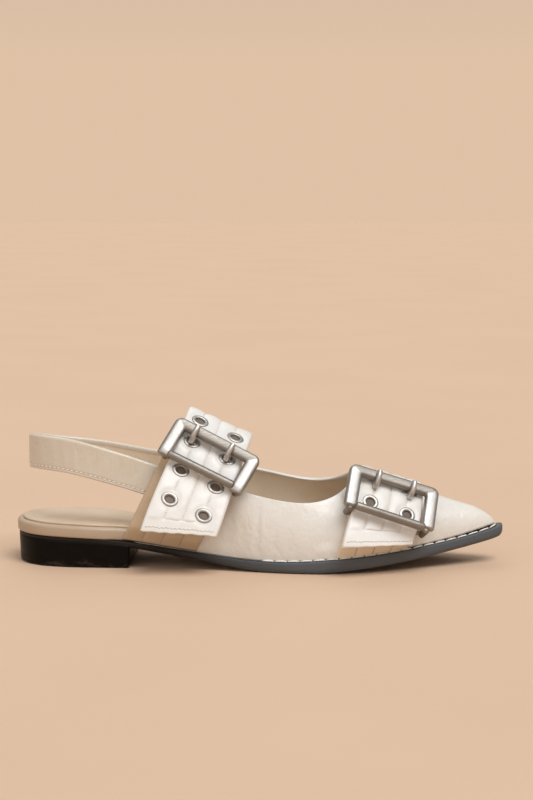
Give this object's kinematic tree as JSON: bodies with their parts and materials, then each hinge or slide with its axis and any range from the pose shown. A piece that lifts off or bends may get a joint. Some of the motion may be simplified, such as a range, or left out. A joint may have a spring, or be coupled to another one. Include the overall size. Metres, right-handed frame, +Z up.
{
  "type": "slingback flat shoe",
  "caption": "Pointed slingback flat for the right foot: hollow low-cut upper, quilted buckle straps over instep and toe, wrapped footbed, thin sole with toe spring and a low block heel.",
  "frame": {"origin": "middle of the shoe's box at floor level", "axes": "+X from heel to toe, +Y to the medial side (away from the buckles), +Z up"},
  "size_m": [0.2689, 0.0928, 0.0831],
  "materials": {
    "sole_black": "black sole edge, satin",
    "heel_black": "black stacked heel block, satin",
    "footbed_ivory": "wrapped ivory faux leather",
    "sock_lining": "smooth taupe sock",
    "upper_ivory": "soft ivory faux leather with a taupe lining",
    "sling_ivory": "ivory faux leather, stitched along its edge",
    "band_ivory": "ivory faux leather, quilted",
    "strap_ivory": "ivory faux leather, quilted in channels",
    "eyelet_nickel": "satin nickel",
    "buckle_nickel": "satin nickel, lightly brushed",
    "prong_nickel": "satin nickel"
  },
  "bodies": {
    "root": {"outsole": "sole_black", "heel": "heel_black", "footbed": "footbed_ivory", "insole_sock": "sock_lining", "upper": "upper_ivory", "slingback_strap": "sling_ivory", "instep_base_band": "band_ivory", "toe_base_band": "band_ivory", "instep_strap": "strap_ivory", "toe_strap": "strap_ivory", "instep_eyelet_1": "eyelet_nickel", "instep_eyelet_2": "eyelet_nickel", "instep_eyelet_3": "eyelet_nickel", "instep_eyelet_4": "eyelet_nickel", "instep_eyelet_5": "eyelet_nickel", "instep_eyelet_6": "eyelet_nickel", "instep_eyelet_7": "eyelet_nickel", "instep_eyelet_8": "eyelet_nickel", "toe_eyelet_1": "eyelet_nickel", "toe_eyelet_2": "eyelet_nickel", "toe_eyelet_3": "eyelet_nickel", "toe_eyelet_4": "eyelet_nickel", "instep_buckle_frame": "buckle_nickel", "toe_buckle_frame": "buckle_nickel", "instep_buckle_rear_prong": "prong_nickel", "instep_buckle_front_prong": "prong_nickel", "toe_buckle_rear_prong": "prong_nickel", "toe_buckle_front_prong": "prong_nickel"}
  },
  "joints": []
}
